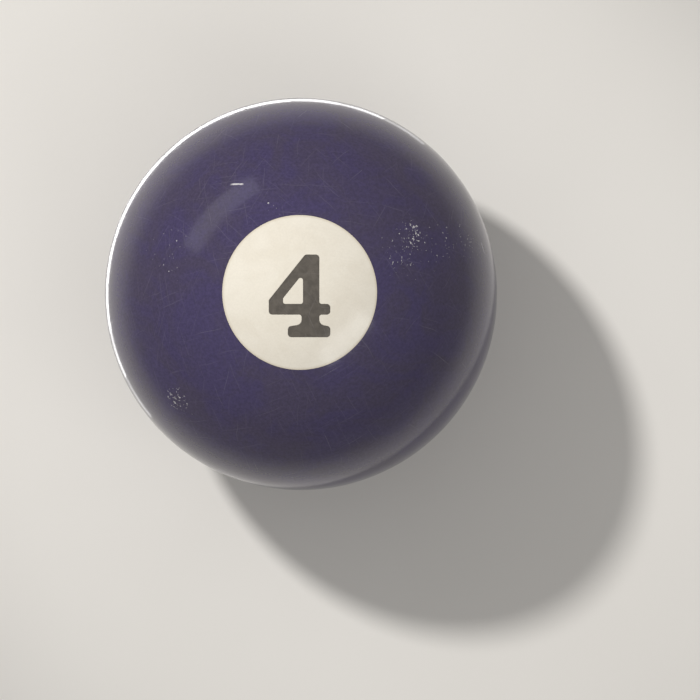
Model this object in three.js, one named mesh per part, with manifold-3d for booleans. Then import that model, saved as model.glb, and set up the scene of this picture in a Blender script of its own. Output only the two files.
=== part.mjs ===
// A numbered pool ball, cast in stages and ground to one smooth sphere.
//
// Millimetres, +Z up. The origin is the ball's centre, +Z runs through the middle of the
// upper number disc, and the upper numeral reads upright with +Y as its up direction.
//
// The hard core is cast first. An ivory disc sits on each pole of it, keyed by a spigot in a
// socket, and each disc carries an inlaid numeral. The purple jacket is cast round all of
// them, and a ridge in it fills each disc's key groove. The outside is then ground flush.

import * as THREE from 'three';
import { mergeVertices } from 'three/addons/utils/BufferGeometryUtils.js';
import Module from 'manifold-3d';

const wasm = await Module();
wasm.setup();

// ---------------------------------------------------------------- driving dimensions

const ballRadius = 57.15 / 2;      // American pool ball, 2 1/4 inch
const bondGap = 0.3;               // bond line between two cast pieces
const halfGap = bondGap / 2;

const coreRadius = 19;
const discRadius = 11;             // the pale circle on the surface is 22 mm across

const socketRadius = 4;            // locating socket in the core, spigot on the disc
const socketFloor = 15;            // height of the socket's floor above the centre

const keyGroove = { low: 20.6, high: 23.4, depth: 0.9 };   // round the disc's side

const numeralDepth = 3;            // thickness of the inlay at the pole
const numeralDrop = 0.5;           // middle of the numeral below the middle of the disc

// The figure 4, drawn from its lower left corner: slab foot, heavy stem, thin bar and slope.
const numeral = {
  width: 8.7,
  height: 11.7,
  footLeft: 2.7,
  footTop: 1.5,
  bracketTop: 1.8,                 // where the foot's brackets meet the stem
  barBottom: 3.2,
  barTop: 4.7,
  stemLeft: 4.85,
  stemRight: 7.15,
  lowStemLeft: 4.65,               // the stem is a little wider below the bar
  apexLeft: 5.15,                  // left end of the flat top
  slopeFoot: 5.25,                 // where the slope meets the left end
  counterLeft: 2.0,
  counterShoulder: 5.5,            // where the counter's short left side meets its slope
  counterTop: 9.05,
  endRadius: 0.5,                  // rounding of the ends of the strokes
  innerRadius: 0.35,               // rounding where two strokes meet
  bracketRadius: 0.8,
};

// ---------------------------------------------------------------- tessellation

const turnSegments = 80;           // round the ball, a multiple of four
const outerStep = THREE.MathUtils.degToRad(5.2);
const innerStep = THREE.MathUtils.degToRad(11);
const domeStep = THREE.MathUtils.degToRad(4.5);
const cornerSegments = 2;
const roundingSlack = 1e-9;        // so that a whole number of steps isn't rounded up
const mergeDistance = 1e-4;        // vertices nearer than this are one vertex
const overshoot = 1;               // how far a cutting block passes the surface it cuts

// ---------------------------------------------------------------- materials

const purpleResin = new THREE.MeshStandardMaterial({ color: 0x4c4763, roughness: 0.12, metalness: 0 });
const ivoryResin = new THREE.MeshStandardMaterial({ color: 0xe4ded1, roughness: 0.14, metalness: 0 });
const charcoalResin = new THREE.MeshStandardMaterial({ color: 0x56524c, roughness: 0.18, metalness: 0 });
const coreResin = new THREE.MeshStandardMaterial({ color: 0x9a948a, roughness: 0.7, metalness: 0 });

// ---------------------------------------------------------------- shape helpers

// Points on a circle round the centre, from one angle above the equator to another, in
// equal steps no larger than `step`. Both ends are included.
function meridian(sphereRadius, from, to, step) {
  const count = Math.ceil(Math.abs(to - from) / step - roundingSlack);
  const points = [];
  for (let i = 0; i <= count; i++) {
    const angle = from + (to - from) * (i / count);
    points.push(new THREE.Vector2(sphereRadius * Math.cos(angle), sphereRadius * Math.sin(angle)));
  }
  return points;
}

// The same points on a whole meridian, from below the equator to above it, through it.
function fullMeridian(sphereRadius, rim, step) {
  return [...meridian(sphereRadius, -rim, 0, step), ...meridian(sphereRadius, 0, rim, step).slice(1)];
}

// The angle above the equator where a circle is `radius` away from the Z axis.
function edgeAngle(sphereRadius, radius) {
  return Math.acos(radius / sphereRadius);
}

// Revolves a profile of (distance from the axis, height) points about the Z axis.
function revolve(profile) {
  return new THREE.LatheGeometry(profile, turnSegments).rotateX(Math.PI / 2);
}

// A closed mesh as a solid that can be cut, with its shared vertices merged.
function solidOf(geometry) {
  const bare = new THREE.BufferGeometry();
  bare.setAttribute('position', geometry.getAttribute('position'));
  bare.setIndex(geometry.getIndex());
  const merged = mergeVertices(bare, mergeDistance);
  const index = merged.getIndex().array;
  const kept = [];
  for (let i = 0; i < index.length; i += 3) {
    const [a, b, c] = [index[i], index[i + 1], index[i + 2]];
    if (a !== b && b !== c && c !== a) kept.push(a, b, c);
  }
  return new wasm.Manifold(new wasm.Mesh({
    numProp: 3,
    vertProperties: Float32Array.from(merged.getAttribute('position').array),
    triVerts: Uint32Array.from(kept),
  }));
}

function geometryOf(solid) {
  const mesh = solid.getMesh();
  const geometry = new THREE.BufferGeometry();
  geometry.setAttribute('position', new THREE.BufferAttribute(Float32Array.from(mesh.vertProperties), 3));
  geometry.setIndex(new THREE.BufferAttribute(Uint32Array.from(mesh.triVerts), 1));
  geometry.computeVertexNormals();
  return geometry;
}

function part(name, geometry, material) {
  const mesh = new THREE.Mesh(geometry, material);
  mesh.name = name;
  return mesh;
}

// ---------------------------------------------------------------- the numeral's outline

function corner(x, y, radius) {
  return { point: new THREE.Vector2(x, y), radius };
}

// Where two edges meet after both have moved outwards by `grow`. The outline runs
// anticlockwise, so the outward normal lies to the right of each edge.
function movedCorner(before, here, after, grow) {
  const into = here.clone().sub(before).normalize();
  const out = after.clone().sub(here).normalize();
  const normalIn = new THREE.Vector2(into.y, -into.x);
  const normalOut = new THREE.Vector2(out.y, -out.x);
  const middle = normalIn.clone().add(normalOut);
  return here.clone().add(middle.multiplyScalar(grow / (1 + normalIn.dot(normalOut))));
}

// Draws a closed outline with rounded corners into a Shape or Path, grown by `grow`.
// An anticlockwise outline grows outwards. A clockwise one, a hole, shrinks inwards.
function drawRounded(path, corners, grow) {
  const count = corners.length;
  const at = (i) => corners[(i + count) % count];
  const moved = corners.map((c, i) => movedCorner(at(i - 1).point, c.point, at(i + 1).point, grow));
  for (let i = 0; i < count; i++) {
    const here = moved[i];
    const into = here.clone().sub(moved[(i + count - 1) % count]).normalize();
    const out = moved[(i + 1) % count].clone().sub(here).normalize();
    const turn = Math.atan2(into.cross(out), into.dot(out));
    const side = Math.sign(turn);
    const radius = corners[i].radius + side * grow;
    const reach = radius * Math.tan(Math.abs(turn) / 2);
    const start = here.clone().addScaledVector(into, -reach);
    const centre = start.clone().add(new THREE.Vector2(-into.y, into.x).multiplyScalar(side * radius));
    const from = Math.atan2(start.y - centre.y, start.x - centre.x);
    if (i === 0) path.moveTo(start.x, start.y);
    else path.lineTo(start.x, start.y);
    path.absarc(centre.x, centre.y, radius, from, from + turn, side < 0);
  }
  path.closePath();
}

// The figure 4 as a flat shape, `grow` larger all round, centred on its own middle.
function numeralShape(grow) {
  const n = numeral;
  const outline = [
    corner(n.footLeft, 0, n.endRadius),
    corner(n.width, 0, n.endRadius),
    corner(n.width, n.footTop, n.endRadius),
    corner(n.stemRight, n.bracketTop, n.bracketRadius),
    corner(n.stemRight, n.barBottom, n.innerRadius),
    corner(n.width, n.barBottom, n.endRadius),
    corner(n.width, n.barTop, n.endRadius),
    corner(n.stemRight, n.barTop, n.innerRadius),
    corner(n.stemRight, n.height, n.endRadius),
    corner(n.apexLeft, n.height, n.endRadius),
    corner(0, n.slopeFoot, n.endRadius),
    corner(0, n.barBottom, n.endRadius),
    corner(n.lowStemLeft, n.barBottom, n.innerRadius),
    corner(n.lowStemLeft, n.bracketTop, n.bracketRadius),
    corner(n.footLeft, n.footTop, n.endRadius),
  ];
  const counter = [
    corner(n.stemLeft, n.barTop, n.innerRadius),
    corner(n.counterLeft, n.barTop, n.innerRadius),
    corner(n.counterLeft, n.counterShoulder, n.innerRadius),
    corner(n.stemLeft, n.counterTop, n.innerRadius),
  ];
  const middle = new THREE.Vector2(n.width / 2, n.height / 2);
  for (const c of [...outline, ...counter]) c.point.sub(middle);
  const shape = new THREE.Shape();
  drawRounded(shape, outline, grow);
  const hole = new THREE.Path();
  drawRounded(hole, counter, grow);
  shape.holes.push(hole);
  return shape;
}

// The figure 4 as a straight-sided block from `floor` up past the ball's surface.
function numeralBlock(grow, floor) {
  const block = new THREE.ExtrudeGeometry(numeralShape(grow), {
    depth: ballRadius + overshoot - floor,
    bevelEnabled: false,
    curveSegments: cornerSegments,
  });
  return solidOf(block.translate(0, -numeralDrop, floor));
}

// ---------------------------------------------------------------- sub-parts

// Hard core: a ball with a socket at each pole.
function makeCore() {
  const socket = socketRadius;
  const rim = edgeAngle(coreRadius, socket);
  const profile = [
    new THREE.Vector2(0, -socketFloor),
    new THREE.Vector2(socket, -socketFloor),
    ...fullMeridian(coreRadius, rim, innerStep),
    new THREE.Vector2(socket, socketFloor),
    new THREE.Vector2(0, socketFloor),
  ];
  return part('core', revolve(profile), coreResin);
}

// Jacket: one thick shell with a round opening at each pole. A ridge in each opening fills
// the disc's key groove.
function makeOuterShell() {
  const opening = discRadius + halfGap;
  const cavity = coreRadius + bondGap;
  const ridge = opening - keyGroove.depth;
  const upperWall = [
    new THREE.Vector2(opening, keyGroove.high),
    new THREE.Vector2(ridge, keyGroove.high - keyGroove.depth),
    new THREE.Vector2(ridge, keyGroove.low + keyGroove.depth),
    new THREE.Vector2(opening, keyGroove.low),
  ];
  const lowerWall = upperWall.map((p) => new THREE.Vector2(p.x, -p.y)).reverse();
  const outside = fullMeridian(ballRadius, edgeAngle(ballRadius, opening), outerStep);
  const inside = fullMeridian(cavity, edgeAngle(cavity, opening), innerStep).reverse();
  const profile = [...outside, ...upperWall, ...inside, ...lowerWall, outside[0].clone()];
  return part('outer_shell', revolve(profile), purpleResin);
}

// Number disc: a domed plug that sits on the core, with the numeral's pocket cut in its face.
function makeNumberDisc(name) {
  const side = discRadius - halfGap;
  const seat = coreRadius + bondGap;
  const spigot = socketRadius - bondGap;
  const waist = side - keyGroove.depth;
  const grooveLow = keyGroove.low - halfGap;
  const grooveHigh = keyGroove.high + halfGap;
  const profile = [
    new THREE.Vector2(0, socketFloor + bondGap),
    new THREE.Vector2(spigot, socketFloor + bondGap),
    ...meridian(seat, edgeAngle(seat, spigot), edgeAngle(seat, side), innerStep),
    new THREE.Vector2(side, grooveLow),
    new THREE.Vector2(waist, grooveLow + keyGroove.depth),
    new THREE.Vector2(waist, grooveHigh - keyGroove.depth),
    new THREE.Vector2(side, grooveHigh),
    ...meridian(ballRadius, edgeAngle(ballRadius, side), Math.PI / 2, domeStep),
  ];
  const pocket = numeralBlock(halfGap, ballRadius - numeralDepth - halfGap);
  return part(name, geometryOf(solidOf(revolve(profile)).subtract(pocket)), ivoryResin);
}

// Numeral: the figure 4, a few millimetres thick, with its face on the ball's surface.
function makeNumeral(name) {
  const side = discRadius - halfGap;
  const floor = ballRadius - numeralDepth + halfGap;
  const dome = [
    new THREE.Vector2(0, floor - overshoot),
    new THREE.Vector2(side, floor - overshoot),
    ...meridian(ballRadius, edgeAngle(ballRadius, side), Math.PI / 2, domeStep),
  ];
  const block = numeralBlock(-halfGap, floor);
  return part(name, geometryOf(solidOf(revolve(dome)).intersect(block)), charcoalResin);
}

// ---------------------------------------------------------------- assembly

const upperPole = new THREE.Group();
upperPole.add(makeNumberDisc('number_disc_top'), makeNumeral('numeral_top'));

// The lower pole is the upper one turned half way round the numeral's up direction.
const lowerPole = new THREE.Group();
lowerPole.add(makeNumberDisc('number_disc_bottom'), makeNumeral('numeral_bottom'));
lowerPole.rotation.y = Math.PI;

const ball = new THREE.Group();
ball.add(makeCore(), makeOuterShell(), upperPole, lowerPole);

export default ball;
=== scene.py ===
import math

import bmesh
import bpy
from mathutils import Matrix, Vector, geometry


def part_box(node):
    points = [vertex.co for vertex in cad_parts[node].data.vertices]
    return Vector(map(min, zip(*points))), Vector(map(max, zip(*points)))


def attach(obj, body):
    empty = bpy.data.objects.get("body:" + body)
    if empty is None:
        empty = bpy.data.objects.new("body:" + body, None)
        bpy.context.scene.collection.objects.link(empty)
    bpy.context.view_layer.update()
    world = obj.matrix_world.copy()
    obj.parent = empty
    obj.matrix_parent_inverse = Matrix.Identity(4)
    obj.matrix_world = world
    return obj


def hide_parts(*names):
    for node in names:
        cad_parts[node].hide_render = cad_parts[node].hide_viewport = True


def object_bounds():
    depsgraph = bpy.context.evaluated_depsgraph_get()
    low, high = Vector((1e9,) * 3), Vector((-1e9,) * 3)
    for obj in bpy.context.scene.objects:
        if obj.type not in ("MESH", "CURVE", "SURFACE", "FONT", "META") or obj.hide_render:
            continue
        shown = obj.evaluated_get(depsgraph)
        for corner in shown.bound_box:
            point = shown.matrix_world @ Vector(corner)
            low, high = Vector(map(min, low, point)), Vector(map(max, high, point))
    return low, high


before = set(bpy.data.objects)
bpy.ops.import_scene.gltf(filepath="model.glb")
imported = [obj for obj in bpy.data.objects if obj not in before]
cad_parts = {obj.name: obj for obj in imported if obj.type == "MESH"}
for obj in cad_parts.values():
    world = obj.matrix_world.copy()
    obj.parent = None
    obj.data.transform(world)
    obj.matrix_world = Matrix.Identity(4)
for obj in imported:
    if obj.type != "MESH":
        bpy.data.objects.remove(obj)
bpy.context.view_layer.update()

# A numbered pool ball resting on a pale floor, seen from straight above.
#
# The six cast pieces are built as fine closed meshes: a purple jacket, a hidden core, and at
# each pole an ivory disc with an inlaid charcoal numeral. Their outside faces lie on one true
# sphere, with a hairline bond line between neighbours. Shapes are worked out in millimetres
# in the part's own frame and turned to metres when a mesh is made.

MM = 0.001


def half_width(node):
    """Half of a CAD node's width along X, in millimetres."""
    low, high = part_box(node)
    return (high[0] - low[0]) / 2 / MM


# ---------------------------------------------------------------- sizes, in millimetres

CAD_GAP = 0.3                  # the CAD model leaves this between two cast pieces
BALL_R = half_width("outer_shell")
DISC_R = half_width("number_disc_top") + CAD_GAP / 2
SEAT_R = half_width("core") + CAD_GAP / 2
SOCKET_R = 3.85
SOCKET_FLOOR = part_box("number_disc_top")[0][2] / MM - CAD_GAP / 2
POCKET_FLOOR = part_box("numeral_top")[0][2] / MM - CAD_GAP / 2

HAIR = 0.006                   # half of the bond line between two pieces
EDGE = 0.035                   # rounding of each piece's edge at the bond line

KEY_LOW, KEY_HIGH, KEY_DEPTH = 20.5, 23.5, 0.9      # groove round the disc's side
INNER_ROUND = 0.25             # rounding of cast corners inside the ball

NUMERAL_WIDTH, NUMERAL_HEIGHT = 8.7, 11.7
END_R, INNER_R, BRACKET_R = 0.5, 0.35, 0.8          # stroke ends, meeting strokes, brackets

TURN = 192                     # points round every ring, a multiple of four
WELD = 1e-7                    # points nearer than this are one point
SLIVER = 1e-5                  # a triangle of straight-line points has less area than this
ON_AXIS = 1e-6                 # a ring smaller than this is one point on the axis
OUTER_STEPS, INNER_STEPS = 44, 16       # faces from an opening's edge to the equator
LIP_STEPS = WALL_STEPS = 4              # faces over a rounded edge, and down a pocket's wall
PROFILE_STEPS = 4                       # faces round each rounded corner of a profile


# ---------------------------------------------------------------- outlines

def rounded(corners, closed, steps=8):
    """Points of an outline given as (x, y, radius) corners, with each corner an arc."""
    count = len(corners)
    points = []
    for i, (x, y, radius) in enumerate(corners):
        here = Vector((x, y))
        if radius == 0 or (not closed and i in (0, count - 1)):
            points.append(here)
            continue
        into = (here - Vector(corners[i - 1][:2])).normalized()
        out = (Vector(corners[(i + 1) % count][:2]) - here).normalized()
        turn = math.atan2(into.x * out.y - into.y * out.x, into.dot(out))
        side = math.copysign(1, turn)
        start = here - into * radius * math.tan(abs(turn) / 2)
        centre = start + Vector((-into.y, into.x)) * side * radius
        for k in range(steps + 1):
            spin = Matrix.Rotation(turn * k / steps, 2)
            points.append(centre + spin @ (start - centre))
    return points


def split_long_edges(points, longest):
    """The same closed outline with no edge longer than `longest`."""
    result = []
    for i, a in enumerate(points):
        b = points[(i + 1) % len(points)]
        pieces = max(1, math.ceil((b - a).length / longest))
        result += [a.lerp(b, k / pieces) for k in range(pieces)]
    return result


def grown(points, distance):
    """A closed outline moved to its right-hand side: outwards if it runs anticlockwise."""
    moved = []
    for i, p in enumerate(points):
        along = points[(i + 1) % len(points)] - points[i - 1]
        moved.append(p + Vector((along.y, -along.x)).normalized() * distance)
    return moved


def circle(radius):
    return [Vector((radius * math.cos(a), radius * math.sin(a)))
            for a in (2 * math.pi * k / TURN for k in range(TURN))]


def arc(radius, start_r, end_r, side, steps):
    """(r, z) points on a meridian from one distance off the axis to another.

    `side` is 1 above the equator and -1 below it."""
    a, b = math.acos(start_r / radius), math.acos(end_r / radius)
    angles = [a + (b - a) * k / steps for k in range(steps + 1)]
    return [(radius * math.cos(t), side * radius * math.sin(t)) for t in angles]


def numeral_outlines():
    """The figure 4's outside, anticlockwise, and its counter, clockwise."""
    foot_left, foot_top, bracket_top = 2.7, 1.5, 1.8
    bar_bottom, bar_top = 3.2, 4.7
    stem_left, stem_right, low_stem_left = 4.85, 7.15, 4.65
    apex_left, slope_foot = 5.15, 5.25
    counter_left, counter_shoulder, counter_top = 2.0, 5.5, 9.05
    outside = [
        (foot_left, 0, END_R),
        (NUMERAL_WIDTH, 0, END_R),
        (NUMERAL_WIDTH, foot_top, END_R),
        (stem_right, bracket_top, BRACKET_R),
        (stem_right, bar_bottom, INNER_R),
        (NUMERAL_WIDTH, bar_bottom, END_R),
        (NUMERAL_WIDTH, bar_top, END_R),
        (stem_right, bar_top, INNER_R),
        (stem_right, NUMERAL_HEIGHT, END_R),
        (apex_left, NUMERAL_HEIGHT, END_R),
        (0, slope_foot, END_R),
        (0, bar_bottom, END_R),
        (low_stem_left, bar_bottom, INNER_R),
        (low_stem_left, bracket_top, BRACKET_R),
        (foot_left, foot_top, END_R),
    ]
    counter = [
        (stem_left, bar_top, INNER_R),
        (counter_left, bar_top, INNER_R),
        (counter_left, counter_shoulder, INNER_R),
        (stem_left, counter_top, INNER_R),
    ]
    low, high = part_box("numeral_top")
    middle = Vector(((low[0] + high[0]) / 2 / MM, (low[1] + high[1]) / 2 / MM))
    shift = middle - Vector((NUMERAL_WIDTH / 2, NUMERAL_HEIGHT / 2))
    loops = []
    for corners in (outside, counter):
        points = split_long_edges(rounded(corners, closed=True), 0.35)
        loops.append([p + shift for p in points])
    return loops


def on_ball(point, depth=0.0):
    """The point above a flat (x, y) one that lies `depth` under the ball's surface."""
    height = math.sqrt(BALL_R ** 2 - point.x ** 2 - point.y ** 2)
    return (point.x, point.y, height - depth)


# ---------------------------------------------------------------- mesh making

class Body:
    """Gathers one closed piece, ring by ring, in millimetres."""

    def __init__(self):
        self.points = []
        self.faces = []

    def ring(self, points):
        first = len(self.points)
        self.points += points
        return list(range(first, len(self.points)))

    def join(self, a, b):
        """Faces between two rings. A ring of one point is the tip of a cone."""
        count = max(len(a), len(b))
        for i in range(count):
            j = (i + 1) % count
            corners = (a[i % len(a)], a[j % len(a)], b[j % len(b)], b[i % len(b)])
            self.faces.append(tuple(dict.fromkeys(corners)))

    def chain(self, rings):
        for a, b in zip(rings, rings[1:]):
            self.join(a, b)

    def turned(self, profile):
        """One ring for each (r, z) point of a profile."""
        rings = []
        for r, z in profile:
            spots = [Vector((0, 0))] if r < ON_AXIS else circle(r)
            rings.append(self.ring([(p.x, p.y, z) for p in spots]))
        return rings

    def lip(self, flat_loop, outwards):
        """Rings from a sharp outline on the ball's surface, over a rounded edge, to a wall.

        The wall stands on the outline, and the piece lies on the other side from
        `outwards`, which is 1 where the outline's right-hand side is outside the piece."""
        rings = []
        for k in range(LIP_STEPS + 1):
            angle = math.pi / 2 * k / LIP_STEPS
            inset = EDGE * (1 - math.sin(angle))
            depth = EDGE * (1 - math.cos(angle))
            loop = grown(flat_loop, -outwards * inset)
            rings.append(self.ring([on_ball(p, depth) for p in loop]))
        self.chain(rings)
        return rings[0], rings[-1]

    def wall(self, top_ring, flat_loop, floor):
        """Straight sides from a ring on the outline down to a floor. Returns the last ring."""
        rings = [top_ring]
        for k in range(1, WALL_STEPS + 1):
            part = k / WALL_STEPS
            levels = [self.points[i][2] * (1 - part) + floor * part for i in top_ring]
            rings.append(self.ring([(p.x, p.y, z) for p, z in zip(flat_loop, levels)]))
        self.chain(rings)
        return rings[-1]

    def fill(self, rings, seeds=()):
        """Triangles, through `seeds`, wherever a point lies within an odd number of the rings."""
        order = [i for ring in rings for i in ring] + self.ring([on_ball(p) for p in seeds])
        flat = [Vector(self.points[i][:2]) for i in order]
        edges, first = [], 0
        for ring in rings:
            edges += [(first + k, first + (k + 1) % len(ring)) for k in range(len(ring))]
            first += len(ring)
        loops = [[Vector(self.points[i][:2]) for i in ring] for ring in rings]
        found = geometry.delaunay_2d_cdt(flat, edges, [], 0, WELD, True)
        verts, triangles, origins = found[0], found[2], found[3]
        for triangle in triangles:
            a, b, c = (verts[v] for v in triangle)
            inside = sum(encloses(loop, (a + b + c) / 3) for loop in loops) % 2
            if inside and geometry.area_tri(a, b, c) > SLIVER:
                self.faces.append(tuple(order[origins[v][0]] for v in triangle))

    def make(self, name, flip=False):
        """The finished object, turned half way round Y if it belongs at the lower pole."""
        side = -1 if flip else 1
        mesh = bpy.data.meshes.new(name)
        points = [(side * x * MM, y * MM, side * z * MM) for x, y, z in self.points]
        mesh.from_pydata(points, [], self.faces)
        bm = bmesh.new()
        bm.from_mesh(mesh)
        bmesh.ops.recalc_face_normals(bm, faces=bm.faces)
        bm.to_mesh(mesh)
        bm.free()
        set_normals(mesh)
        piece = bpy.data.objects.new(name, mesh)
        bpy.context.scene.collection.objects.link(piece)
        return piece


def set_normals(mesh):
    """Smooth shading, exact on the ground sphere and crisp at the inner corners."""
    crisp_angle = math.radians(30)
    near_sphere = 0.001 * MM
    facing_out = 0.8           # cosine between a face and the sphere that it is part of
    mesh.polygons.foreach_set("use_smooth", [True] * len(mesh.polygons))
    mesh.set_sharp_from_angle(angle=crisp_angle)
    normals = [corner.vector.copy() for corner in mesh.corner_normals]
    for polygon in mesh.polygons:
        for loop in polygon.loop_indices:
            point = mesh.vertices[mesh.loops[loop].vertex_index].co
            ground = abs(point.length - BALL_R * MM) < near_sphere
            if ground and polygon.normal.dot(point.normalized()) > facing_out:
                normals[loop] = point.normalized()
    mesh.normals_split_custom_set(normals)


def encloses(loop, point):
    """Whether a point lies within a closed outline."""
    inside = False
    for i, a in enumerate(loop):
        b = loop[i - 1]
        if (a.y > point.y) != (b.y > point.y):
            if point.x < (b.x - a.x) * (point.y - a.y) / (b.y - a.y) + a.x:
                inside = not inside
    return inside


OUTLINE, COUNTER = numeral_outlines()


def in_numeral(point):
    return encloses(OUTLINE, point) and not encloses(COUNTER, point)


def face_seeds(keep, spacing=0.45):
    """Evenly spaced points on the domed face where `keep` says, clear of every outline."""
    borders = OUTLINE + COUNTER + circle(DISC_R)
    seeds = []
    rows = math.ceil(DISC_R / spacing)
    for row in range(-rows, rows + 1):
        for column in range(-rows - 1, rows + 2):
            x = (column + (row % 2) / 2) * spacing
            point = Vector((x, row * spacing * math.sqrt(3) / 2))
            clear = point.length < DISC_R and min((point - b).length for b in borders) > spacing / 2
            if clear and keep(point):
                seeds.append(point)
    return seeds


# ---------------------------------------------------------------- the six pieces

def key_corners(wall_r, side):
    """Corners of the key on a side wall, from the ball's surface inwards."""
    low_r = wall_r - KEY_DEPTH
    heights = (KEY_HIGH, KEY_HIGH - KEY_DEPTH, KEY_LOW + KEY_DEPTH, KEY_LOW)
    return [(r, side * z, INNER_ROUND) for r, z in zip((wall_r, low_r, low_r, wall_r), heights)]


def make_jacket():
    """The purple jacket: the outside of the ball, open at each pole, hollow round the core."""
    opening = DISC_R + HAIR
    cavity = SEAT_R + HAIR
    outside = arc(BALL_R, opening, BALL_R, -1, OUTER_STEPS)
    outside += arc(BALL_R, BALL_R, opening, 1, OUTER_STEPS)[1:]
    inside = arc(cavity, opening, cavity, 1, INNER_STEPS)
    inside += arc(cavity, cavity, opening, -1, INNER_STEPS)[1:]
    corners = [(r, z, 0) for r, z in outside] + key_corners(opening, 1)
    corners += [(r, z, 0) for r, z in inside] + key_corners(opening, -1)[::-1]
    last = len(outside) - 1
    for i in (0, last):
        corners[i] = (*corners[i][:2], EDGE)
    profile = rounded(corners, closed=True, steps=PROFILE_STEPS)
    body = Body()
    rings = body.turned([tuple(p) for p in profile])
    body.chain(rings + rings[:1])
    return body.make("jacket")


def make_core():
    """The hard core: a ball with a socket at each pole."""
    core_r = SEAT_R - HAIR
    socket_r = SOCKET_R + HAIR
    floor = SOCKET_FLOOR - HAIR
    upper = arc(core_r, core_r, socket_r, side=1, steps=20)
    corners = [(r, z, 0) for r, z in upper[:-1]]
    corners += [(*upper[-1], INNER_ROUND), (socket_r, floor, INNER_ROUND), (0, floor, 0)]
    half = [tuple(p) for p in rounded(corners, closed=False, steps=PROFILE_STEPS)]
    profile = [(r, -z) for r, z in half[:0:-1]] + half
    body = Body()
    body.chain(body.turned(profile))
    return body.make("inner_core")


def make_disc(name, flip):
    """A number disc: domed face with the numeral's pocket, side groove, seat and spigot."""
    body = Body()
    side_r = DISC_R - HAIR
    seat = SEAT_R + HAIR
    spigot_r, spigot_end = SOCKET_R - HAIR, SOCKET_FLOOR + HAIR
    face, side_top = body.lip(circle(side_r), outwards=1)
    under = arc(seat, side_r, spigot_r, side=1, steps=12)
    below = [(side_r, body.points[side_top[0]][2], 0)] + key_corners(side_r, 1)
    below += [(r, z, 0) for r, z in under[:-1]]
    below += [(*under[-1], INNER_ROUND), (spigot_r, spigot_end, INNER_ROUND), (0, spigot_end, 0)]
    profile = [tuple(p) for p in rounded(below, closed=False, steps=PROFILE_STEPS)]
    body.chain([side_top] + body.turned(profile[1:]))
    tops, floors = [face], []
    for loop in (OUTLINE, COUNTER):
        flat_loop = grown(loop, HAIR)
        top, wall_top = body.lip(flat_loop, outwards=-1)
        tops.append(top)
        floors.append(body.wall(wall_top, flat_loop, POCKET_FLOOR))
    body.fill(tops, face_seeds(lambda point: not in_numeral(point)))
    body.fill(floors)
    return body.make(name, flip)


def make_numeral(name, flip):
    """A numeral: the figure 4 with a domed face, straight sides and a flat bottom."""
    body = Body()
    tops, floors = [], []
    for loop in (OUTLINE, COUNTER):
        flat_loop = grown(loop, -HAIR)
        top, wall_top = body.lip(flat_loop, outwards=1)
        tops.append(top)
        floors.append(body.wall(wall_top, flat_loop, POCKET_FLOOR + HAIR))
    body.fill(tops, face_seeds(in_numeral))
    body.fill(floors)
    return body.make(name, flip)


# ---------------------------------------------------------------- materials

PURPLE_SMOKY, PURPLE_BLUE = (0.055, 0.044, 0.089), (0.052, 0.041, 0.106)
SCUFF = (0.30, 0.28, 0.34)
CHALK = (0.66, 0.64, 0.66)
IVORY_PALE, IVORY_WARM = (0.80, 0.755, 0.665), (0.75, 0.70, 0.605)
IVORY_RIM = (0.50, 0.42, 0.31)
CHARCOAL_DARK, CHARCOAL_LIGHT = (0.086, 0.076, 0.065), (0.122, 0.108, 0.092)
CORE_DARK, CORE_LIGHT = (0.22, 0.20, 0.17), (0.40, 0.36, 0.31)
FLOOR_LOW, FLOOR_HIGH = (0.75, 0.73, 0.70), (0.78, 0.76, 0.73)
WHITE = (1.0, 1.0, 1.0)

# Clusters of small flecks in the jacket: azimuth about Z from +X and tilt from the upper
# pole in degrees, spread in degrees, and how thickly they lie.
CHIP_CLUSTERS = [
    (27, 39, 5, 0.21),
    (22, 33, 7, 0.15),
    (20, 48, 7, 0.14),
    (17, 61, 5, 0.16),
    (221, 55, 4, 0.22),
    (162, 44, 8, 0.12),
    (106, 27, 3, 0.14),
    (300, 100, 10, 0.13),
    (120, 118, 8, 0.13),
]

# Short nicks in the jacket: azimuth, tilt and twist in degrees, and length.
NICKS = [
    (120, 38.7, -36, 2.3),
    (14, 72, 10, 2.0),
    (250, 84, 35, 1.6),
    (70, 112, -20, 2.6),
    (190, 128, 15, 1.8),
]


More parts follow.
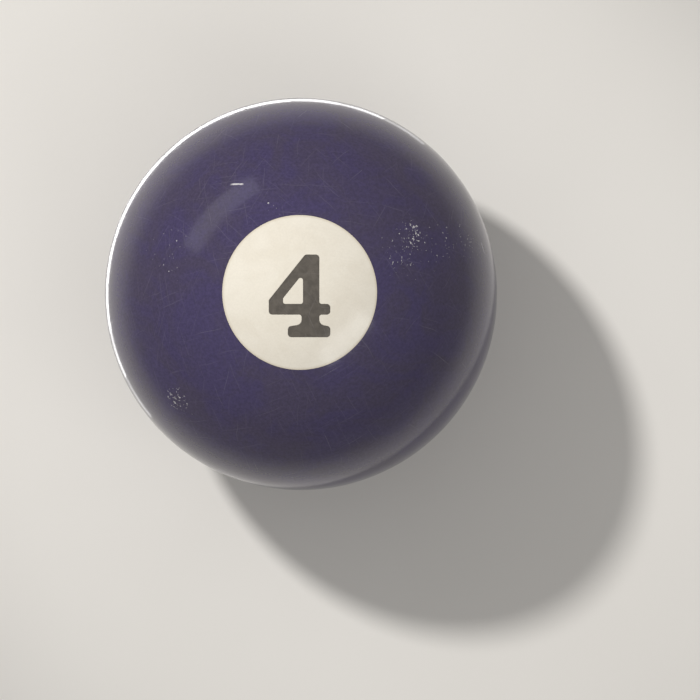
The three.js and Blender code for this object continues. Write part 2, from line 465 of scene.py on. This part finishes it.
class Shader:
    """Builds one procedural Principled material, with positions in millimetres."""

    def __init__(self, name):
        self.material = bpy.data.materials.new(name)
        self.material.use_nodes = True
        self.tree = self.material.node_tree
        self.surface = self.tree.nodes["Principled BSDF"]
        place = self.node("ShaderNodeTexCoord")
        self.mm = self.scaled(place.outputs["Object"], 1 / MM)

    def node(self, kind, **settings):
        made = self.tree.nodes.new(kind)
        for key, value in settings.items():
            setattr(made, key, value)
        return made

    def link(self, source, socket):
        """Joins a node's output to a socket, or sets the socket if source is a plain value."""
        if isinstance(source, bpy.types.NodeSocket):
            self.tree.links.new(source, socket)
        else:
            socket.default_value = source

    def math(self, operation, a, b=0.0, clamp=False):
        made = self.node("ShaderNodeMath", operation=operation, use_clamp=clamp)
        self.link(a, made.inputs[0])
        self.link(b, made.inputs[1])
        return made.outputs[0]

    def vector(self, operation, a, b=(0, 0, 0), output="Vector"):
        made = self.node("ShaderNodeVectorMath", operation=operation)
        self.link(a, made.inputs[0])
        self.link(b, made.inputs[1])
        return made.outputs[output]

    def scaled(self, vector, factor):
        return self.vector("MULTIPLY", vector, (factor, factor, factor))

    def split(self, vector, axis):
        """One component of a vector or colour."""
        made = self.node("ShaderNodeSeparateXYZ")
        self.link(vector, made.inputs["Vector"])
        return made.outputs[axis]

    def band(self, value, low, high, to_low=0.0, to_high=1.0):
        """A smooth step of value from low to high."""
        made = self.node("ShaderNodeMapRange", interpolation_type="SMOOTHSTEP")
        self.link(value, made.inputs["Value"])
        ends = {"From Min": low, "From Max": high, "To Min": to_low, "To Max": to_high}
        for key, number in ends.items():
            made.inputs[key].default_value = number
        return made.outputs["Result"]

    def noise(self, size, detail=2.0, roughness=0.5, distortion=0.0, output="Fac"):
        """Noise whose features are about `size` millimetres across."""
        made = self.node("ShaderNodeTexNoise")
        self.link(self.mm, made.inputs["Vector"])
        made.inputs["Scale"].default_value = 1 / size
        made.inputs["Detail"].default_value = detail
        made.inputs["Roughness"].default_value = roughness
        made.inputs["Distortion"].default_value = distortion
        return made.outputs[output]

    def mix(self, amount, a, b, blend="MIX"):
        """Colour a, with colour b over it by amount."""
        made = self.node("ShaderNodeMix", data_type="RGBA", blend_type=blend)
        sockets = {socket.identifier: socket for socket in (*made.inputs, *made.outputs)}
        self.link(amount, sockets["Factor_Float"])
        for value, name in ((a, "A_Color"), (b, "B_Color")):
            plain = not isinstance(value, bpy.types.NodeSocket)
            self.link((*value, 1.0) if plain else value, sockets[name])
        return sockets["Result_Color"]

    def shaded(self, colour, amount):
        """A colour made lighter or darker by a number."""
        grey = self.node("ShaderNodeCombineColor")
        for channel in ("Red", "Green", "Blue"):
            self.link(amount, grey.inputs[channel])
        return self.mix(1.0, colour, grey.outputs["Color"], blend="MULTIPLY")

    def finish(self, colour, roughness, height, distance, ior=1.5):
        """Joins colour, roughness and a bump height of `distance` millimetres to the surface."""
        self.link(colour, self.surface.inputs["Base Color"])
        self.link(roughness, self.surface.inputs["Roughness"])
        bump = self.node("ShaderNodeBump")
        bump.inputs["Distance"].default_value = distance * MM
        self.link(height, bump.inputs["Height"])
        self.link(bump.outputs["Normal"], self.surface.inputs["Normal"])
        self.surface.inputs["IOR"].default_value = ior
        return self.material

    def polished(self, colour, haze, wear):
        """Finishes a polished surface of one colour and roughness, with its wear.

        Each kind of wear is a mask, a tint and how far it covers, dulls and dents the polish."""
        rough, dips = haze, 0.0
        for mask, tint, covering, dulling, denting in wear:
            colour = self.mix(self.math("MULTIPLY", mask, covering), colour, tint)
            rough = self.math("ADD", rough, self.math("MULTIPLY", mask, dulling), clamp=True)
            dips = self.math("SUBTRACT", dips, self.math("MULTIPLY", mask, denting))
        return self.finish(colour, rough, dips, distance=0.03)


def direction(azimuth, tilt):
    """A unit vector from its azimuth about Z and its tilt from the upper pole, in degrees."""
    a, t = math.radians(azimuth), math.radians(tilt)
    return (math.sin(t) * math.cos(a), math.sin(t) * math.sin(a), math.cos(t))


def hairlines(shader, apart, length, width, share):
    """Fine short strokes lying every way, a share of them kept.

    They are thin slabs scattered through space, `apart` and `length` in size, and show as
    strokes `width` wide where the surface cuts across them. Each layer lies another way."""
    layers = 5
    bend_size, bend_reach = 9.0, 2.0
    bend = shader.noise(bend_size, output="Color")
    bent = shader.vector("ADD", shader.mm, shader.scaled(bend, bend_reach))
    total = 0.0
    for k in range(layers):
        turned = shader.node("ShaderNodeVectorRotate", rotation_type="EULER_XYZ")
        turned.inputs["Rotation"].default_value = (0.7 + 1.3 * k, 0.4 + 2.1 * k, 0.9 * k)
        shader.link(bent, turned.inputs["Vector"])
        place = turned.outputs["Vector"]
        square_on = shader.math("ABSOLUTE", shader.split(place, "X"))
        place = shader.vector("MULTIPLY", place, (1 / apart, 1 / length, 1 / length))
        cells = shader.node("ShaderNodeTexVoronoi")
        cells.inputs["Scale"].default_value = 1.0
        shader.link(place, cells.inputs["Vector"])
        offset = shader.vector("SUBTRACT", place, cells.outputs["Position"])
        across = shader.math("ABSOLUTE", shader.split(offset, "X"))
        along = shader.vector("MULTIPLY", offset, (0, 1, 1))
        along = shader.vector("LENGTH", along, output="Value")
        stroke = shader.band(across, 0.0, width / apart, 1.0, 0.0)
        stroke = shader.math("MULTIPLY", stroke, shader.band(along, 0.2, 0.5, 1.0, 0.0))
        cut_across = shader.band(square_on, 0.5 * BALL_R, 0.8 * BALL_R, 1.0, 0.0)
        stroke = shader.math("MULTIPLY", stroke, cut_across)
        chosen = shader.math("LESS_THAN", shader.split(cells.outputs["Color"], "X"), share)
        strength = shader.math("MULTIPLY", chosen, shader.split(cells.outputs["Color"], "Y"))
        total = shader.math("MAXIMUM", total, shader.math("MULTIPLY", stroke, strength))
    return total


def flecks(shader, size, clusters, rarity):
    """Small ragged flecks, thick in the clusters and scattered thinly elsewhere."""
    outer_spread, edge = 1.8, 0.035
    grains = shader.noise(size, detail=3.0, roughness=0.6)
    unit = shader.vector("NORMALIZE", shader.mm)
    crowding = 0.0
    for azimuth, tilt, spread, density in clusters:
        near = shader.vector("DOT_PRODUCT", unit, direction(azimuth, tilt), output="Value")
        farthest = math.cos(math.radians(spread * outer_spread))
        fall = shader.band(near, farthest, 1.0, 0.0, density)
        crowding = shader.math("MAXIMUM", crowding, fall)
    level = shader.math("SUBTRACT", rarity, crowding)
    return shader.band(shader.math("SUBTRACT", grains, level), 0.0, edge)


def nick(shader, azimuth, tilt, twist, length):
    """A short straight nick in the surface, turned by `twist` from the line of latitude."""
    width, ragged_size, ragged_reach, margin = 0.36, 0.5, 0.25, 0.12
    outward = Vector(direction(azimuth, tilt))
    level = Vector((0, 0, 1)).cross(outward).normalized()
    along = Matrix.Rotation(math.radians(twist), 3, outward) @ level
    across = outward.cross(along)
    ragged = shader.math("MULTIPLY", shader.noise(ragged_size), ragged_reach)
    offset = shader.vector("SUBTRACT", shader.mm, outward * BALL_R)
    distance = shader.vector("LENGTH", offset, output="Value")
    mark = shader.band(distance, length, length + 1, 1.0, 0.0)
    for axis, reach in ((along, length / 2), (across, width / 2)):
        off = shader.math("ABSOLUTE", shader.vector("DOT_PRODUCT", offset, axis, output="Value"))
        off = shader.math("ADD", off, ragged)
        inside = shader.band(off, reach / 2 + margin, reach + margin, 1.0, 0.0)
        mark = shader.math("MULTIPLY", mark, inside)
    return mark


def purple_resin():
    """Polished cast resin: clouded purple, hairline scratches, nicks, and flecks in clusters."""
    shader = Shader("purple_resin")
    cloud = shader.noise(9.0, detail=4.0, roughness=0.6, distortion=1.4)
    colour = shader.mix(shader.band(cloud, 0.35, 0.65), PURPLE_SMOKY, PURPLE_BLUE)
    grain = shader.noise(0.4, detail=3.0, roughness=0.7)
    colour = shader.shaded(colour, shader.band(grain, 0.25, 0.75, 0.82, 1.18))
    scratches = hairlines(shader, apart=1.1, length=6.0, width=0.07, share=0.5)
    marks = flecks(shader, 0.42, CHIP_CLUSTERS, 0.80)
    for place in NICKS:
        marks = shader.math("MAXIMUM", marks, nick(shader, *place))
    haze = shader.noise(6.0, detail=5.0, roughness=0.65)
    haze = shader.band(haze, 0.35, 0.75, 0.10, 0.18)
    wear = [(scratches, SCUFF, 0.15, 0.15, 0.15), (marks, CHALK, 0.85, 0.35, 1.0)]
    return shader.polished(colour, haze, wear)


def ivory_resin():
    """Polished ivory resin: faint cloud, a warm line at the bond, fine specks and scratches."""
    shader = Shader("ivory_resin")
    cloud = shader.noise(5.0, detail=5.0, roughness=0.6, distortion=0.8)
    colour = shader.mix(shader.band(cloud, 0.30, 0.75), IVORY_PALE, IVORY_WARM)
    grain = shader.noise(0.3, detail=3.0, roughness=0.7)
    colour = shader.shaded(colour, shader.band(grain, 0.25, 0.75, 0.965, 1.02))
    flat = shader.vector("MULTIPLY", shader.mm, (1.0, 1.0, 0.0))
    off_axis = shader.vector("LENGTH", flat, output="Value")
    rim_width, rim_strength = 0.45, 0.45
    rim = shader.band(off_axis, DISC_R - rim_width, DISC_R, 0.0, rim_strength)
    colour = shader.mix(rim, colour, IVORY_RIM)
    scratches = hairlines(shader, apart=1.1, length=5.0, width=0.06, share=0.5)
    marks = flecks(shader, 0.35, [], 0.76)
    haze = shader.band(shader.noise(5.0, detail=5.0), 0.35, 0.75, 0.12, 0.20)
    wear = [(scratches, IVORY_RIM, 0.12, 0.12, 0.15), (marks, IVORY_RIM, 0.35, 0.0, 0.6)]
    return shader.polished(colour, haze, wear)


def charcoal_resin():
    """Charcoal resin of the numerals: mottled, a little duller than the rest."""
    shader = Shader("charcoal_resin")
    cloud = shader.noise(1.1, detail=4.0, roughness=0.65, distortion=0.6)
    colour = shader.mix(shader.band(cloud, 0.3, 0.7), CHARCOAL_DARK, CHARCOAL_LIGHT)
    scratches = hairlines(shader, apart=1.1, length=5.0, width=0.06, share=0.5)
    marks = flecks(shader, 0.35, [], 0.76)
    haze = shader.band(shader.noise(2.0, detail=4.0), 0.35, 0.75, 0.18, 0.30)
    wear = [(scratches, SCUFF, 0.12, 0.10, 0.15), (marks, SCUFF, 0.4, 0.0, 0.6)]
    return shader.polished(colour, haze, wear)


def core_resin():
    """As-cast filled resin of the hidden core: coarse, speckled with filler, not polished."""
    shader = Shader("core_resin")
    cloud = shader.noise(4.0, detail=6.0, roughness=0.7)
    colour = shader.mix(shader.band(cloud, 0.3, 0.7), CORE_DARK, CORE_LIGHT)
    filler = flecks(shader, 0.5, [], 0.60)
    colour = shader.mix(shader.math("MULTIPLY", filler, 0.5), colour, CHALK)
    rough = shader.band(shader.noise(1.0, detail=4.0), 0.3, 0.7, 0.55, 0.8)
    return shader.finish(colour, rough, shader.noise(0.6, detail=5.0), distance=0.05)


def floor_paint():
    """A plain pale matt floor with the faintest unevenness."""
    shader = Shader("pale_floor")
    cloud = shader.noise(60.0, detail=3.0)
    colour = shader.mix(shader.band(cloud, 0.3, 0.7), FLOOR_LOW, FLOOR_HIGH)
    rough = shader.band(cloud, 0.3, 0.7, 0.75, 0.85)
    return shader.finish(colour, rough, shader.noise(0.8, detail=3.0), distance=0.02, ior=1.45)


# ---------------------------------------------------------------- stage, light and camera

KEY_AZIMUTH = 135              # where the key light stands, in degrees about Z from +X


def make_floor():
    """A large round pale floor, its face at the ball's lowest point."""
    near_radius, far_radius, thickness = 200, 6000, 20
    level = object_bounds()[0][2] / MM
    under = level - thickness
    face = [(0, level), (near_radius, level), (far_radius, level)]
    body = Body()
    body.chain(body.turned(face + [(far_radius, under), (0, under)]))
    floor = body.make("floor")
    floor.data.materials.append(floor_paint())


def aim(thing, target):
    """Points a light or camera, looking along its own -Z, at a target in metres."""
    thing.rotation_mode = "QUATERNION"
    thing.rotation_quaternion = (Vector(target) - thing.location).to_track_quat("-Z", "Y")


def place_light(data, place, target, watts, colour, glossy=True, diffuse=True):
    """Puts a light at a place, shining at a target, both in metres."""
    data.energy = watts
    data.color = colour
    light = bpy.data.objects.new(data.name, data)
    light.location = place
    light.visible_glossy = glossy
    light.visible_diffuse = diffuse
    light.visible_camera = False
    bpy.context.scene.collection.objects.link(light)
    aim(light, target)


def bearing(azimuth, elevation, distance):
    """A place seen from the ball's centre at an azimuth and elevation in degrees."""
    return Vector(direction(azimuth, 90 - elevation)) * distance


def make_key():
    """The key: a soft lamp whose pool of light on the floor ends a little way past the ball."""
    distance, lamp_width, pool_radius = 0.7, 0.06, 0.1
    elevation, watts, colour = 52, 14.7, (1.0, 0.985, 0.955)
    data = bpy.data.lights.new("key", "SPOT")
    data.shadow_soft_size = lamp_width / 2
    data.spot_size = 2 * math.atan(pool_radius / distance)
    data.spot_blend = 0.6
    place = bearing(KEY_AZIMUTH, elevation, distance)
    foot = (0, 0, -BALL_R * MM)
    place_light(data, place, foot, watts, colour, glossy=False)


def make_box(name, azimuth, elevation, width, height, watts, diffuse):
    """A softbox half a metre away, which shows as a soft patch in the polish."""
    data = bpy.data.lights.new(name, "AREA")
    data.shape = "RECTANGLE"
    data.size, data.size_y = width, height
    place = bearing(azimuth, elevation, distance=0.5)
    place_light(data, place, (0, 0, 0), watts, WHITE, diffuse=diffuse)


def make_rim_lights():
    """Narrow gridded strips in a ring on the key side, seen only as a bright line at the rim."""
    count, step = 12, 14                   # strips, and degrees from each to the next
    peak_watts, spread = 0.000012, 20
    ball = BALL_R * MM
    ring, width = 1.38 * ball, 0.18 * ball
    floor_gap = 0.5 * MM
    aim_out, aim_up = 0.985 * ball, 0.17 * ball
    for k in range(count):
        azimuth = KEY_AZIMUTH + (k - (count - 1) / 2) * step
        data = bpy.data.lights.new(f"rim_{k}", "AREA")
        data.shape = "RECTANGLE"
        data.size, data.size_y = 2 * ring * math.tan(math.radians(step / 2)), width
        data.spread = math.radians(spread)
        outwards = Vector(direction(azimuth, 90))
        place = outwards * ring + Vector((0, 0, floor_gap - ball))
        target = outwards * aim_out + Vector((0, 0, aim_up))
        watts = peak_watts * math.sin(math.pi * (k + 0.5) / count)
        place_light(data, place, target, watts, WHITE, diffuse=False)


def make_world(horizon, zenith):
    """Even pale surroundings, as bright as the far floor at the horizon and brighter overhead."""
    warm_white = (1.0, 0.985, 0.96, 1.0)
    world = bpy.data.worlds.new("studio")
    world.use_nodes = True
    tree = world.node_tree
    place = tree.nodes.new("ShaderNodeTexCoord")
    split = tree.nodes.new("ShaderNodeSeparateXYZ")
    height = tree.nodes.new("ShaderNodeMapRange")
    height.inputs["To Min"].default_value = horizon
    height.inputs["To Max"].default_value = zenith
    background = tree.nodes["Background"]
    background.inputs["Color"].default_value = warm_white
    tree.links.new(place.outputs["Generated"], split.inputs["Vector"])
    tree.links.new(split.outputs["Z"], height.inputs["Value"])
    tree.links.new(height.outputs["Result"], background.inputs["Strength"])
    bpy.context.scene.world = world


def make_camera():
    """Straight above the ball, with +Y up in the picture, and the shadow's side left open."""
    ball_share = 0.56                      # of the picture's width
    centre_across, centre_down = 0.43, 0.42
    data = bpy.data.cameras.new("camera")
    data.lens = 350
    data.clip_start, data.clip_end = 0.01, 20
    camera = bpy.data.objects.new("camera", data)
    field = 2 * BALL_R * MM / ball_share
    distance = field / data.sensor_width * data.lens
    camera.location = ((0.5 - centre_across) * field, (centre_down - 0.5) * field, distance)
    bpy.context.scene.collection.objects.link(camera)
    bpy.context.scene.camera = camera


def dress(piece, material, node):
    """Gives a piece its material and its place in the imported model."""
    piece.data.materials.append(material)
    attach(piece, "root")
    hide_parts(node)


ivory, charcoal = ivory_resin(), charcoal_resin()
dress(make_jacket(), purple_resin(), "outer_shell")
dress(make_core(), core_resin(), "core")
dress(make_disc("upper_disc", False), ivory, "number_disc_top")
dress(make_disc("lower_disc", True), ivory, "number_disc_bottom")
dress(make_numeral("upper_numeral", False), charcoal, "numeral_top")
dress(make_numeral("lower_numeral", True), charcoal, "numeral_bottom")

make_floor()
make_key()
make_box("streak", KEY_AZIMUTH, elevation=20, width=0.40, height=0.12, watts=0.13, diffuse=False)
make_box("fill", KEY_AZIMUTH + 180, elevation=53, width=0.30, height=0.10, watts=0.24, diffuse=True)
make_rim_lights()
make_world(horizon=0.30, zenith=0.42)
make_camera()
bpy.context.scene.view_settings.view_transform = "Standard"
